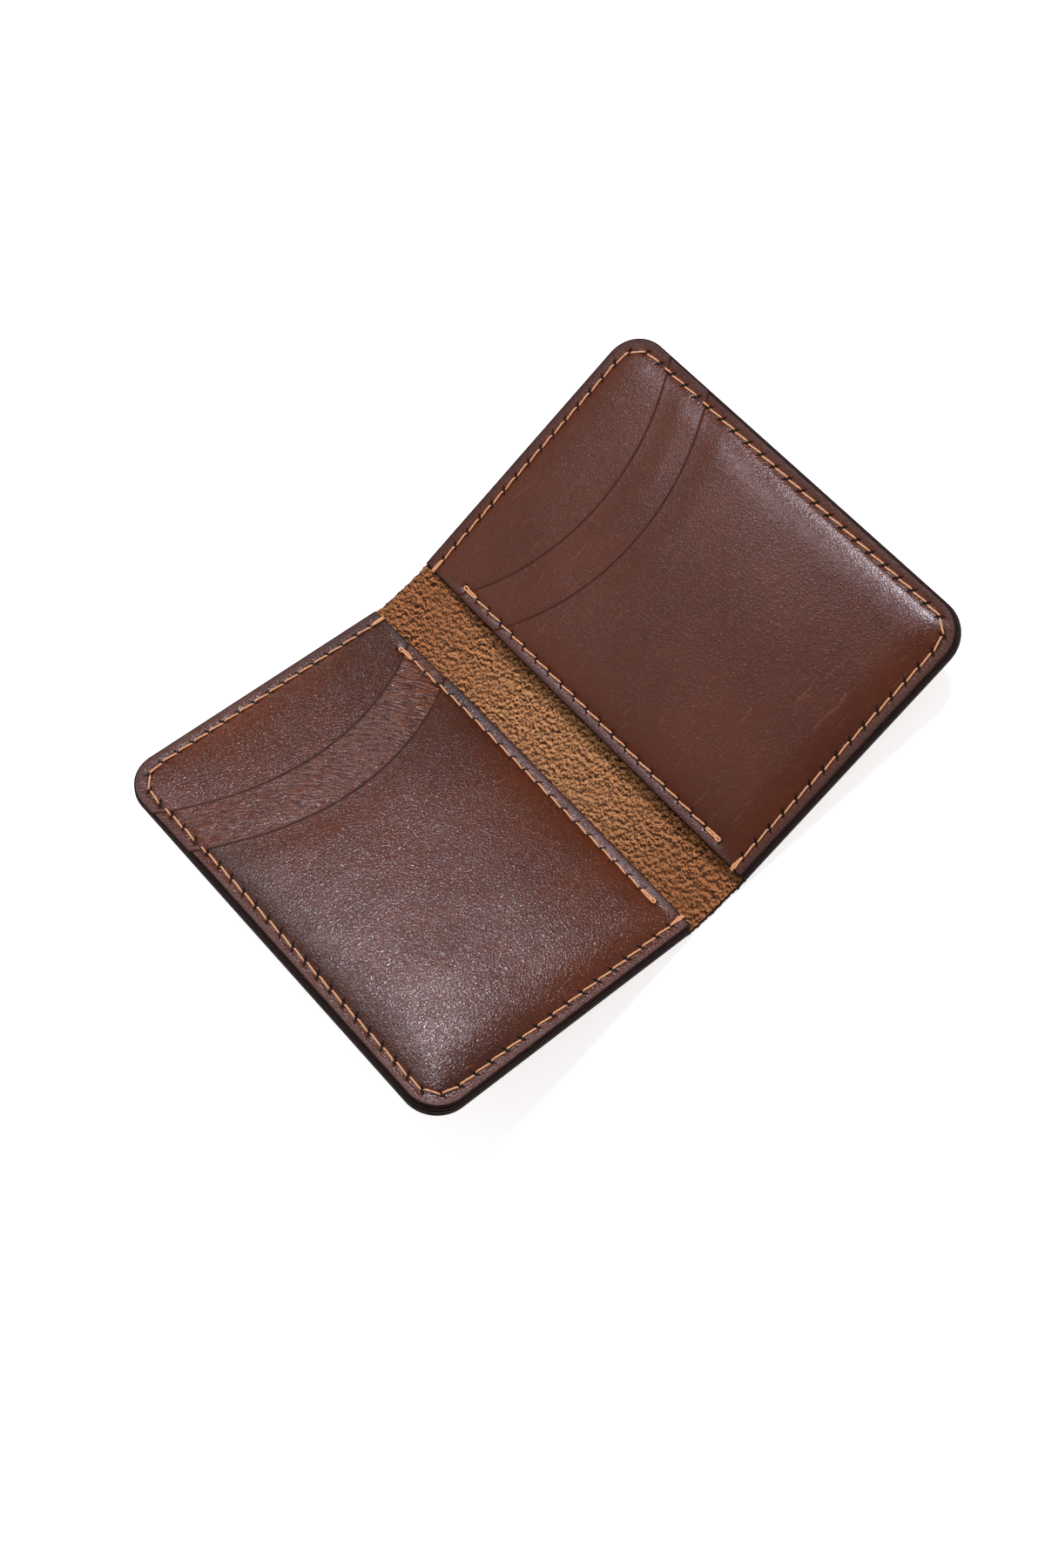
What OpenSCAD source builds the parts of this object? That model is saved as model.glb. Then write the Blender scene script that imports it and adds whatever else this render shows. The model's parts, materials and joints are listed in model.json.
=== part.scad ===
// Bifold card wallet, open on a table.
// The spine strip lies flat, the two halves stand up from it at their rest angles.
// Frame: origin at the middle of the spine strip's outer face, +X to the right half,
// +Y along the spine towards the pocket mouths, +Z up.

/* [Panels] */
// Length of the wallet along the spine
wallet_h = 101; // [95:1:120]
// Width of one pocket panel, from its spine-side edge to its outer edge
panel_w = 68.3; // [66:0.1:80]
// Radius of the outer corners
corner_r = 8; // [6:0.5:12]
// Thickness of the outer cover
cover_t = 1.2; // [1:0.1:1.5]
// Thickness of the back panels and the pockets
liner_t = 0.9; // [0.7:0.1:1.1]

/* [Spine] */
// Distance from the middle of the spine to each crease
crease_x = 6.1; // [6:0.1:8]
// Distance from a crease to the panel's spine-side edge
panel_setback = 1.9; // [1.6:0.1:3]
// Angle of the left half above the table
rest_left = 23; // [0:1:40]
// Angle of the right half above the table
rest_right = 11.5; // [0:0.5:40]

/* [Pockets] */
// Radius of the curved pocket mouths
mouth_r = 58.4; // [56:0.2:80]
// Depth of the rear mouth's lowest point below the top edge
rear_mouth_drop = 22.4; // [18:0.1:24]
// Distance from the rear mouth to the front mouth
mouth_step = 12.2; // [10:0.1:16]
// Room between the cover and the back panel
hidden_gap = 0.5; // [0.45:0.05:0.6]
// Room for a card in each slot
slot_gap = 0.95; // [0.8:0.05:1]

/* [Seams] */
// Distance from the panel's edge to the edge seam
edge_inset = 2.8; // [2.5:0.1:3.2]
// Distance from the spine-side edge to the pocket seam
pocket_inset = 2.5; // [2.2:0.1:3]
// Distance from the top edge to the pocket seam's upper end
pocket_seam_from_top = 11.7; // [10:0.1:13]
// Distance from the bottom edge to the pocket seam's lower end
pocket_seam_from_bottom = 8.8; // [7.5:0.1:12]
// Nominal stitch length
stitch = 4; // [3:0.1:5]
// Width across the corners of a stitch hole
hole_d = 0.9; // [0.8:0.05:1]
// Width of the thread
thread_w = 0.4; // [0.35:0.05:0.4]

/* [Hidden] */

cover_color = "#4b2418";
panel_color = "#5a2c1e";
pocket_color = "#63301f";
suede_color = "#9a6638";
thread_color = "#c56a2c";

// Clearances
crease_gap = 0.15;   // between the spine strip and a half's round edge
part_gap = 0.05;     // between the plate and the margins of one pocket
nest_gap = 0.1;      // between the walls of nested pockets
past = 1;            // how far a cutting tool runs past a face

// Across a half: u from the crease outwards, y along the spine, w up from the outer face
half_h = wallet_h / 2;
panel_u = panel_setback;
outer_u = panel_setback + panel_w;
mid_u = (panel_u + outer_u) / 2;

// Heights of the pressed seam stack
back_z = cover_t;
rear_z = back_z + liner_t;
front_z = rear_z + liner_t;
stack_z = front_z + liner_t;

// Heights of the raised fields
back_field_z = back_z + hidden_gap;
rear_field_z = back_field_z + liner_t + slot_gap;
front_field_z = rear_field_z + liner_t + slot_gap;

// Width of each layer's margin, out to the inside of its wall
front_ring = 5.9;
rear_ring = front_ring + liner_t + nest_gap;
back_ring = rear_ring + nest_gap;

// Pocket mouths
rear_mouth_y = half_h - rear_mouth_drop;
front_mouth_y = rear_mouth_y - mouth_step;

// Seams
groove_d = 0.4;
groove_w = 1.3;    // leaves room for the straight stitches round the corners
thread_t = groove_d;
edge_y = half_h - edge_inset;
edge_u = outer_u - edge_inset;
edge_r = corner_r - edge_inset;
wrap_u = panel_u - 0.7;
edge_straight = outer_u - corner_r - wrap_u;
edge_side = wallet_h - 2 * corner_r;
edge_arc = PI / 2 * edge_r;
edge_len = 2 * edge_straight + 2 * edge_arc + edge_side;
edge_n = round(edge_len / stitch);
pocket_u = panel_u + pocket_inset;
pocket_top_y = half_h - pocket_seam_from_top;
pocket_low_y = pocket_seam_from_bottom - half_h;
pocket_n = round((pocket_top_y - pocket_low_y) / stitch);

$fn = 64;

// A point of the edge seam, at a distance s from its top end
function edge_point(s) =
  let (a = edge_straight, b = a + edge_arc, c = b + edge_side, d = c + edge_arc,
       cu = outer_u - corner_r, cy = half_h - corner_r)
  s < a ? [wrap_u + s, edge_y] :
  s < b ? [cu + edge_r * sin((s - a) / edge_r * 180 / PI),
           cy + edge_r * cos((s - a) / edge_r * 180 / PI)] :
  s < c ? [edge_u, cy - (s - b)] :
  s < d ? [cu + edge_r * cos((s - c) / edge_r * 180 / PI),
           -cy - edge_r * sin((s - c) / edge_r * 180 / PI)] :
          [cu - (s - d), -edge_y];

edge_holes = [for (i = [0:edge_n]) edge_point(i * edge_len / edge_n)];
pocket_holes = [for (i = [0:pocket_n])
  [pocket_u, pocket_top_y + (pocket_low_y - pocket_top_y) * i / pocket_n]];

// Height of a curved mouth above the middle of the wallet, at u
function mouth_at(lowest_y, u) = lowest_y + mouth_r - sqrt(mouth_r * mouth_r - pow(u - mid_u, 2));

// Top surface under a stitch hole of each seam
function edge_top(p) =
  p[0] < panel_u ? cover_t :
  p[1] > mouth_at(rear_mouth_y, p[0]) ? rear_z :
  p[1] > mouth_at(front_mouth_y, p[0]) ? front_z : stack_z;
function pocket_top(p) =
  let (low = back_field_z + liner_t)
  p[1] > mouth_at(rear_mouth_y, p[0]) ? low :
  p[1] > mouth_at(front_mouth_y, p[0]) ? low + liner_t : low + 2 * liner_t;

// ---- outlines, in the plane of a half ----

// A flat shape with square corners at u0 and round ones at u1
module half_outline(u0, u1, y1, r) {
  translate([u0, -y1]) square([u1 - r - u0, 2 * y1]);
  translate([u0, r - y1]) square([u1 - u0, 2 * (y1 - r)]);
  for (side = [-1, 1]) translate([u1 - r, side * (y1 - r)]) circle(r);
}

module panel_outline() {
  half_outline(panel_u, outer_u, half_h, corner_r);
}

// Everything below a curved mouth
module below_mouth(lowest_y) {
  difference() {
    translate([0, -wallet_h]) square([2 * outer_u, 2 * wallet_h]);
    translate([mid_u, lowest_y + mouth_r]) circle(mouth_r);
    translate([0, lowest_y + mouth_r / 2]) square([2 * outer_u, wallet_h]);
  }
}

// The band of the edge seam, as wide as given
module seam_band(width) {
  difference() {
    half_outline(wrap_u - width / 2, edge_u + width / 2, edge_y + width / 2, edge_r + width / 2);
    half_outline(0, edge_u - width / 2, edge_y - width / 2, edge_r - width / 2);
  }
}

// ---- seams ----

// Diamond stitch holes through everything
module stitch_holes(points) {
  for (p = points)
    translate([p[0], p[1], -past]) cylinder(d = hole_d, h = stack_z + 3 * past, $fn = 4);
}

// One stitch from p to q, its underside at height z
module stitch_bar(p, q, z, width) {
  run = q - p;
  translate([p[0], p[1], z])
    rotate([0, 0, atan2(run[1], run[0])])
      translate([-thread_w / 2, -width / 2, 0])
        cube([norm(run) + thread_w, width, thread_t]);
}

// A leg of thread in a hole
module stitch_leg(p, z0, z1) {
  translate([p[0] - thread_w / 2, p[1] - thread_w / 2, z0]) cube([thread_w, thread_w, z1 - z0]);
}

// The needle thread: stitches on top, and legs down to the middle of each hole.
// The first and last stitch are doubled.
module top_thread(points, tops, floor_z) {
  last = len(points) - 1;
  for (i = [0:last - 1])
    stitch_bar(points[i], points[i + 1], max(tops[i], tops[i + 1]),
               (i == 0 || i == last - 1) ? 2 * thread_w : thread_w);
  for (i = [0:last])
    stitch_leg(points[i], (floor_z + tops[i]) / 2,
               max(tops[max(i - 1, 0)], tops[i], tops[min(i + 1, last)]) + thread_t);
}

// The under thread: stitches below, and legs up to the middle of each hole
module under_thread(points, tops, floor_z, bar_z) {
  last = len(points) - 1;
  for (i = [0:last - 1]) stitch_bar(points[i], points[i + 1], bar_z, thread_w);
  for (i = [0:last]) stitch_leg(points[i], bar_z, (floor_z + tops[i]) / 2);
}

module edge_seam_top_thread() {
  top_thread(edge_holes, [for (p = edge_holes) edge_top(p)], 0);
}

module edge_seam_under_thread() {
  under_thread(edge_holes, [for (p = edge_holes) edge_top(p)], 0, 0);
}

module pocket_seam_top_thread() {
  top_thread(pocket_holes, [for (p = pocket_holes) pocket_top(p)], back_field_z);
}

module pocket_seam_under_thread() {
  under_thread(pocket_holes, [for (p = pocket_holes) pocket_top(p)], back_field_z,
               back_field_z - thread_t);
}

// ---- leather, right-hand half ----

module cover() {
  difference() {
    union() {
      linear_extrude(cover_t) half_outline(0, outer_u, half_h, corner_r);
      translate([0, -half_h, cover_t / 2]) rotate([-90, 0, 0]) cylinder(r = cover_t / 2, h = wallet_h);
    }
    stitch_holes(edge_holes);
    translate([0, 0, -past]) linear_extrude(past + groove_d) seam_band(groove_w);
  }
}

module back_panel() {
  difference() {
    union() {
      translate([0, 0, back_z]) linear_extrude(liner_t) {
        intersection() {
          panel_outline();
          translate([outer_u - back_ring, -half_h]) square([back_ring, wallet_h]);
        }
        for (y = [-half_h, half_h - back_ring])
          intersection() {
            panel_outline();
            translate([panel_u, y]) square([panel_w - back_ring - part_gap, back_ring]);
          }
      }
      translate([panel_u, -half_h + back_ring + part_gap, back_field_z])
        cube([panel_w - back_ring - part_gap, wallet_h - 2 * (back_ring + part_gap), liner_t]);
    }
    stitch_holes(edge_holes);
    stitch_holes(pocket_holes);
  }
}

// One card pocket: three flat margins with low walls, and the raised field that they carry.
// base_z is the height of its edge-seam margin, field_z of its field, ring the width of a margin.
module pocket(base_z, field_z, ring, lowest_y, spine_z) {
  wall = ring - liner_t;
  difference() {
    intersection() {
      union() {
        outer_margin(base_z, field_z, ring, wall);
        bottom_margin(base_z, field_z, ring, wall);
        spine_margin(spine_z, field_z, ring, wall);
        translate([panel_u + wall, wall - half_h, field_z])
          cube([panel_w - 2 * wall, wallet_h, liner_t]);
      }
      linear_extrude(2 * front_field_z) below_mouth(lowest_y);
    }
    stitch_holes(edge_holes);
    stitch_holes(pocket_holes);
  }
}

module outer_margin(base_z, field_z, ring, wall) {
  translate([0, 0, base_z]) linear_extrude(liner_t) intersection() {
    panel_outline();
    translate([outer_u - ring, -half_h]) square([ring, wallet_h]);
  }
  translate([outer_u - ring, wall - half_h, base_z])
    cube([liner_t, wallet_h, field_z - part_gap - base_z]);
}

module bottom_margin(base_z, field_z, ring, wall) {
  translate([0, 0, base_z]) linear_extrude(liner_t) intersection() {
    panel_outline();
    translate([panel_u, -half_h]) square([panel_w - ring - part_gap, ring]);
  }
  translate([panel_u + wall, wall - half_h, base_z])
    cube([panel_w - wall - ring - part_gap, liner_t, field_z - part_gap - base_z]);
}

module spine_margin(base_z, field_z, ring, wall) {
  low_y = back_ring + part_gap - half_h;
  translate([panel_u, low_y, base_z]) cube([ring, wallet_h, liner_t]);
  translate([panel_u + wall, low_y, base_z])
    cube([liner_t, wallet_h, field_z - part_gap - base_z]);
}

module rear_pocket() {
  pocket(rear_z, rear_field_z, rear_ring, rear_mouth_y, back_field_z + liner_t);
}

module front_pocket() {
  pocket(front_z, front_field_z, front_ring, front_mouth_y, back_field_z + 2 * liner_t);
}

// ---- placing ----

module on_right() {
  translate([crease_x, 0, cover_t / 2]) rotate([0, -rest_right, 0])
    translate([0, 0, -cover_t / 2]) children();
}

module on_left() {
  mirror([1, 0, 0]) translate([crease_x, 0, cover_t / 2]) rotate([0, -rest_left, 0])
    translate([0, 0, -cover_t / 2]) children();
}

module spine_cover() {
  half_w = crease_x - cover_t / 2 - crease_gap;
  color(suede_color) translate([-half_w, -half_h, 0]) cube([2 * half_w, wallet_h, cover_t]);
}

module left_cover() { color(cover_color) on_left() cover(); }
module right_cover() { color(cover_color) on_right() cover(); }
module left_back_panel() { color(panel_color) on_left() back_panel(); }
module right_back_panel() { color(panel_color) on_right() back_panel(); }
module left_rear_pocket() { color(pocket_color) on_left() rear_pocket(); }
module right_rear_pocket() { color(pocket_color) on_right() rear_pocket(); }
module left_front_pocket() { color(pocket_color) on_left() front_pocket(); }
module right_front_pocket() { color(pocket_color) on_right() front_pocket(); }
module left_edge_seam_top_thread() { color(thread_color) on_left() edge_seam_top_thread(); }
module right_edge_seam_top_thread() { color(thread_color) on_right() edge_seam_top_thread(); }
module left_edge_seam_under_thread() { color(thread_color) on_left() edge_seam_under_thread(); }
module right_edge_seam_under_thread() { color(thread_color) on_right() edge_seam_under_thread(); }
module left_pocket_seam_top_thread() { color(thread_color) on_left() pocket_seam_top_thread(); }
module right_pocket_seam_top_thread() { color(thread_color) on_right() pocket_seam_top_thread(); }
module left_pocket_seam_under_thread() { color(thread_color) on_left() pocket_seam_under_thread(); }
module right_pocket_seam_under_thread() { color(thread_color) on_right() pocket_seam_under_thread(); }

spine_cover();
left_cover();
right_cover();
left_back_panel();
right_back_panel();
left_rear_pocket();
right_rear_pocket();
left_front_pocket();
right_front_pocket();
left_edge_seam_top_thread();
right_edge_seam_top_thread();
left_edge_seam_under_thread();
right_edge_seam_under_thread();
left_pocket_seam_top_thread();
right_pocket_seam_top_thread();
left_pocket_seam_under_thread();
right_pocket_seam_under_thread();
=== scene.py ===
"""Bifold card wallet: leather sheets, suede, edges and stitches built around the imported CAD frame."""
import json
import math

import bpy
import numpy as np
from mathutils import Matrix, Vector, noise


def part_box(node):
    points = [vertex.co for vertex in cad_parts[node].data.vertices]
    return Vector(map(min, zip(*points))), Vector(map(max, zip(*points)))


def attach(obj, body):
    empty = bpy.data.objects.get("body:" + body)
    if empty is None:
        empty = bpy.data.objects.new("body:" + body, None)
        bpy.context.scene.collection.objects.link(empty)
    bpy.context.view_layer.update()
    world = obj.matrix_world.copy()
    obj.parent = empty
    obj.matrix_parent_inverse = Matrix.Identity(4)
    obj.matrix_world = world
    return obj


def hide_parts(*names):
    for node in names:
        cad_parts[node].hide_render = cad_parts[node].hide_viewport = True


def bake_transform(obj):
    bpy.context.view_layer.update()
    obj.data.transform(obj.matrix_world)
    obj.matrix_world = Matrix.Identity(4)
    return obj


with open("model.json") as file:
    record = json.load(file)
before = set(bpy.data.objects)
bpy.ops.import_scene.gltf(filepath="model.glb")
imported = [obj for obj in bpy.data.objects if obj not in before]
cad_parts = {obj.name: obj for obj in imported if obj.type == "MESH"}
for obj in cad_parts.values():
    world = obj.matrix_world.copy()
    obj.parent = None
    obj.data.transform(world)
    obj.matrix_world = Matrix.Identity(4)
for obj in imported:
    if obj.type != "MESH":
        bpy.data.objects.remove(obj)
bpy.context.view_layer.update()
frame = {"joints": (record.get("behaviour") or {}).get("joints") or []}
noise.seed_set(5)        # mathutils shifts its noise at random otherwise

# ---------------------------------------------------------------- sizes, in millimetres
MM = 0.001
SPINE_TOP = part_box("spine_cover")[1]
HALF_H = SPINE_TOP[1] / MM
COVER_T = SPINE_TOP[2] / MM
JOINTS = {j["name"]: j for j in frame["joints"]}
CREASE_X = abs(JOINTS["right_fold"]["pos_m"][0]) / MM
SIDES = ("left", "right")
SIGN = {"left": -1.0, "right": 1.0}
REST = {side: math.radians(-JOINTS[side + "_fold"]["range_deg"][0]) for side in SIDES}

# Each half has its own coordinates: u outwards from its crease, y along the spine, and w up from
# the outside of the cover.
PANEL_U = 1.9            # crease to the panel's spine-side edge
PANEL_W = 68.3
OUTER_U = PANEL_U + PANEL_W
MID_U = PANEL_U + PANEL_W / 2
CORNER_R = 8.0
LINER_T = 0.9
RIM = 0.28               # rounding of every cut edge

MOUTH_R = 58.4
REAR_MOUTH_Y = HALF_H - 22.4
FRONT_MOUTH_Y = REAR_MOUTH_Y - 12.2
REAR_SET_IN = 0.15       # each pocket's cut edge stands a little inside the one below it
FRONT_SET_IN = 0.4

EDGE_INSET = 2.8
POCKET_INSET = 2.5
STITCH = 4.0
WRAP_U = PANEL_U - 0.7   # where the edge seam's last hole goes through the cover
EDGE_U = OUTER_U - EDGE_INSET
EDGE_Y = HALF_H - EDGE_INSET
EDGE_R = CORNER_R - EDGE_INSET
EDGE_STRAIGHT = OUTER_U - CORNER_R - WRAP_U
EDGE_SIDE = 2 * (HALF_H - CORNER_R)
EDGE_ARC = math.pi / 2 * EDGE_R
EDGE_LEN = 2 * EDGE_STRAIGHT + 2 * EDGE_ARC + EDGE_SIDE
EDGE_N = round(EDGE_LEN / STITCH)
POCKET_U = PANEL_U + POCKET_INSET
POCKET_TOP = HALF_H - 11.7
POCKET_LOW = 8.8 - HALF_H
POCKET_LEN = POCKET_TOP - POCKET_LOW
POCKET_N = round(POCKET_LEN / STITCH)

THREAD_R = 0.2
THREAD_SINK = 0.12       # how far a thread lies into the leather
UNDER_GROOVE = 0.36      # groove of the under thread, in the outside of the cover
BEND_IN = 3.2            # the cover starts to bend this far inside the crease
BEND_OUT = PANEL_U       # and is straight again from here

HIDDEN_LIFT = 0.5        # back panel above the cover, in its field
SLOT_LIFT = 0.38         # a pocket above the layer under it, in its field

# The two halves are worn differently.
CROWN = {"left": 1.7, "right": 0.85}            # how far the field bulges
CROWN_POWER = {"left": 2.8, "right": 1.8}       # and how steeply it starts at the seams
SPINE_HOLD = {"left": 1.0, "right": 0.2}        # how much the pocket seam holds the bulge down
SPINE_CURL = {"left": 0.12, "right": 0.1}       # how far the spine-side margin curls up
WAVE_SEED = {"left": 1.0, "right": 2.4}         # so that their unevenness differs
GRAIN = {"left": 1.1, "right": 0.5}             # depth of the pebble grain
WRINKLED = {"left": 1.0, "right": 0.0}          # wrinkles in the rear pocket's band
PULL_AND_NO_SHEEN = {"left": 0.78, "right": 0.15}            # warm colour at the seams, partly painted so that they look as if they catch no sheen
FIELD = {"left": 0.32, "right": 0.0}            # and warm colour everywhere else
PAINTED_SHADE_OUTER = {"left": 0.5, "right": 0.0}        # painted shade towards the edge seam
PAINTED_SHADE_SPINE = {"left": 0.5, "right": 0.0}        # and painted shade beside the spine


# ---------------------------------------------------------------- outlines and seams
def mouth_y(lowest, u):
    """Height of a curved pocket mouth at u."""
    return lowest + MOUTH_R - np.sqrt(MOUTH_R ** 2 - (u - MID_U) ** 2)


def edge_inset(u, y):
    """Distance in from the top, outer and bottom edges."""
    du = OUTER_U - u
    dy = HALF_H - np.abs(y)
    corner = CORNER_R - np.hypot(CORNER_R - du, CORNER_R - dy)
    return np.where((du < CORNER_R) & (dy < CORNER_R), corner, np.minimum(du, dy))


def edge_seam(u, y):
    """(distance along the edge seam, distance in from it) of the nearest point of the seam."""
    du = OUTER_U - u
    dy = HALF_H - np.abs(y)
    turn = np.arctan2(np.maximum(CORNER_R - du, 0), np.maximum(CORNER_R - dy, 1e-6))
    along = np.where(dy < du, u - WRAP_U, EDGE_STRAIGHT + EDGE_ARC + HALF_H - CORNER_R - np.abs(y))
    in_corner = (du < CORNER_R) & (dy < CORNER_R)
    along = np.where(in_corner, EDGE_STRAIGHT + EDGE_R * turn, along)
    along = np.where(y < 0, EDGE_LEN - along, along)
    return along, edge_inset(u, y) - EDGE_INSET


def edge_point(s):
    """The point of the edge seam at a distance s from its top end."""
    mirrored = s > EDGE_LEN / 2
    s = EDGE_LEN - s if mirrored else s
    cu, cy = OUTER_U - CORNER_R, HALF_H - CORNER_R
    if s < EDGE_STRAIGHT:
        u, y = WRAP_U + s, EDGE_Y
    elif s < EDGE_STRAIGHT + EDGE_ARC:
        a = (s - EDGE_STRAIGHT) / EDGE_R
        u, y = cu + EDGE_R * math.sin(a), cy + EDGE_R * math.cos(a)
    else:
        u, y = EDGE_U, cy - (s - EDGE_STRAIGHT - EDGE_ARC)
    return (u, -y if mirrored else y)


EDGE_HOLES = [edge_point(i * EDGE_LEN / EDGE_N) for i in range(EDGE_N + 1)]
POCKET_HOLES = [(POCKET_U, POCKET_TOP - i * POCKET_LEN / POCKET_N) for i in range(POCKET_N + 1)]


# ---------------------------------------------------------------- heights of the layers
def swell(d, reach, power=2.4):
    """Rises from 0 at a seam to 1 at reach, steepest at the seam."""
    x = np.clip(d / reach, 0, 1)
    return 1 - (1 - x) ** power


def rise(u, y, reach, power=2.4):
    """The same from the top, outer and bottom edges at once."""
    return swell(EDGE_U - u, reach, power) * swell(EDGE_Y - np.abs(y), reach, power)


def ease(x):
    """A smooth step from 0 to 1."""
    x = np.clip(x, 0, 1)
    return x * x * (3 - 2 * x)


def to_hole(s, length, count):
    """Distance along a seam to its nearest hole."""
    pitch = length / count
    return (np.mod(s / pitch + 0.5, 1.0) - 0.5) * pitch


def pressed(s, d, length, count):
    """How deep a seam presses the leather: a soft groove, deeper at each hole."""
    inside = ease((s + 1.5) / 1.5) * ease((length - s + 1.5) / 1.5)
    groove = 0.2 * np.exp(-((d / 0.75) ** 2))
    dimple = 0.26 * np.exp(-((d / 0.42) ** 2) - (to_hole(s, length, count) / 0.5) ** 2)
    return (groove + dimple) * inside


def edge_press(u, y):
    return pressed(*edge_seam(u, y), EDGE_LEN, EDGE_N)


def pocket_press(u, y):
    return pressed(POCKET_TOP - y, u - POCKET_U, POCKET_LEN, POCKET_N)


def bevel(u, y, next_mouth=None):
    """The topmost layer is thinned towards the cut edge."""
    low = 0.22 * ease((EDGE_INSET - edge_inset(u, y)) / EDGE_INSET)
    return low if next_mouth is None else low * (y > mouth_y(next_mouth, u))


def waves(u, y, seed):
    """Slow unevenness of hand-cut leather."""
    return (np.sin(u * 0.11 + y * 0.07 + seed) + np.sin(y * 0.13 - u * 0.05 + 2.1 * seed)
            + 0.6 * np.sin(u * 0.23 - y * 0.19 + 3.3 * seed)) / 2.6


def back_top(side, u, y):
    """Top of the back panel before any pressing."""
    d = edge_inset(u, y) - EDGE_INSET
    inner = u - POCKET_U
    lift = HIDDEN_LIFT * rise(u, y, 7)
    held = SPINE_HOLD[side]
    crown = CROWN[side] * rise(u, y, 30, CROWN_POWER[side]) * (1 - held + held * swell(inner, 22, 1.8))
    lower = 0.2 + 0.8 * ease((FRONT_MOUTH_Y + 14 - y) / 8)
    curl = SPINE_CURL[side] * np.clip(-inner / POCKET_INSET, 0, 1.2) ** 1.4 * ease(d / 9) * lower
    wavy = 0.09 * waves(u, y, WAVE_SEED[side]) * ease(np.minimum(d, inner) / 10)
    return COVER_T + LINER_T + lift + crown + curl + wavy


def slot_gap(u, y, lowest):
    """Room between a pocket and what is under it: closed at the seams, nearly closed at the mouth."""
    below = mouth_y(lowest, u) - y
    return 0.03 + SLOT_LIFT * rise(u, y, 9) * swell(u - POCKET_U, 9) * (0.08 + 0.92 * ease(below / 30))


def skived(u, y, lowest):
    """Thickness of a pocket, thinned towards its mouth."""
    below = mouth_y(lowest, u) - y
    return LINER_T - 0.42 * (1 - ease(below / 8))


def rear_top(side, u, y):
    """Top of the rear pocket before any pressing."""
    return back_top(side, u, y) + slot_gap(u, y, REAR_MOUTH_Y) + skived(u, y, REAR_MOUTH_Y)


def front_top(side, u, y):
    """Top of the front pocket before any pressing."""
    return rear_top(side, u, y) + slot_gap(u, y, FRONT_MOUTH_Y) + skived(u, y, FRONT_MOUTH_Y)


def shown_top(side, u, y):
    """Height of the topmost layer."""
    u, y = np.asarray(u, float), np.asarray(y, float)
    z = np.where(y > mouth_y(REAR_MOUTH_Y, u), back_top(side, u, y),
                 np.where(y > mouth_y(FRONT_MOUTH_Y, u), rear_top(side, u, y), front_top(side, u, y)))
    return np.where(u < PANEL_U, COVER_T, z)


# ---------------------------------------------------------------- placing in the frame
def place(side, points):
    """From a half's own (u, y, w) in millimetres to the frame in metres."""
    a = REST[side]
    w = points[:, 2] - COVER_T / 2
    x = CREASE_X + points[:, 0] * math.cos(a) - w * math.sin(a)
    z = COVER_T / 2 + points[:, 0] * math.sin(a) + w * math.cos(a)
    return np.stack([SIGN[side] * x, points[:, 1], z], axis=1) * MM


def place_bent(side, points):
    """As place, but the cover bends softly through its crease and lies flat inside it."""
    a = REST[side]
    u, w = points[:, 0], points[:, 2] - COVER_T / 2
    span = BEND_IN + BEND_OUT
    t = np.clip((u + BEND_IN) / span, 0, 1)
    h0, h1 = 2 * t ** 3 - 3 * t ** 2 + 1, t ** 3 - 2 * t ** 2 + t
    h2, h3 = 3 * t ** 2 - 2 * t ** 3, t ** 3 - t ** 2
    end = np.array([math.cos(a), math.sin(a)])
    x = h0 * -BEND_IN + h1 * span + h2 * BEND_OUT * end[0] + h3 * span * end[0]
    z = h2 * BEND_OUT * end[1] + h3 * span * end[1]
    g0, g1, g3 = 6 * t ** 2 - 6 * t, 3 * t ** 2 - 4 * t + 1, 3 * t ** 2 - 2 * t
    tx = g0 * -BEND_IN + g1 * span - g0 * BEND_OUT * end[0] + g3 * span * end[0]
    tz = -g0 * BEND_OUT * end[1] + g3 * span * end[1]
    size = np.hypot(tx, tz)
    tx, tz = tx / size, tz / size
    before, after = np.minimum(u + BEND_IN, 0), np.maximum(u - BEND_OUT, 0)
    x = x + before + after * end[0] - w * tz
    z = z + after * end[1] + w * tx
    return np.stack([SIGN[side] * (CREASE_X + x), points[:, 1], COVER_T / 2 + z], axis=1) * MM


# ---------------------------------------------------------------- meshes
def steps(*runs):
    """Grid lines: each run is (from, to, spacing)."""
    out = [runs[0][0]]
    for low, high, gap in runs:
        n = max(1, round((high - low) / gap))
        out += [low + (high - low) * (i + 1) / n for i in range(n)]
    return np.array(out)


def round_corners(u, y, inset):
    """Bends the square outer corners of a grid onto arcs."""
    r = CORNER_R - inset
    cu, cy = OUTER_U - CORNER_R, HALF_H - CORNER_R
    a = np.clip((u - cu) / r, 0, None)
    b = np.clip((np.abs(y) - cy) / r, 0, None)
    corner = (a > 0) & (b > 0)
    ru = cu + r * a * np.sqrt(np.clip(1 - b * b / 2, 0, None))
    ry = cy + r * b * np.sqrt(np.clip(1 - a * a / 2, 0, None))
    return np.where(corner, ru, u), np.where(corner, np.sign(y) * ry, y)


def loop_normals(points):
    """Outward normals of a closed anticlockwise loop, mitred at its corners."""
    ahead = np.roll(points, -1, axis=0) - points
    ahead /= np.linalg.norm(ahead, axis=1)[:, None]
    out = np.stack([ahead[:, 1], -ahead[:, 0]], axis=1)
    both = out + np.roll(out, 1, axis=0)
    both /= np.linalg.norm(both, axis=1)[:, None]
    return both / np.clip((both * out).sum(axis=1), 0.7, 1)[:, None]


WRINKLE_CENTRE = (101.0, -37.5)     # the wrinkles fan out from here
WRINKLE_RADIUS = 90.0
PATTERN_SHIFT = (200, 300)          # keeps the noise patterns away from their origin
FAR = 9.0                           # stands for no mouth nearby
EDGE_SLOT, MOUTH_SLOT = 2, 3        # material slots of a sheet's rim

# Cross-section of a cut edge: (how far out, how far down), as parts of RIM and the thickness.
RIM_PROFILE = ((0.42, 0.03), (0.78, 0.11), (1.0, 0.27), (1.04, 0.5), (1.0, 0.73), (0.78, 0.89), (0.42, 0.97))


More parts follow.
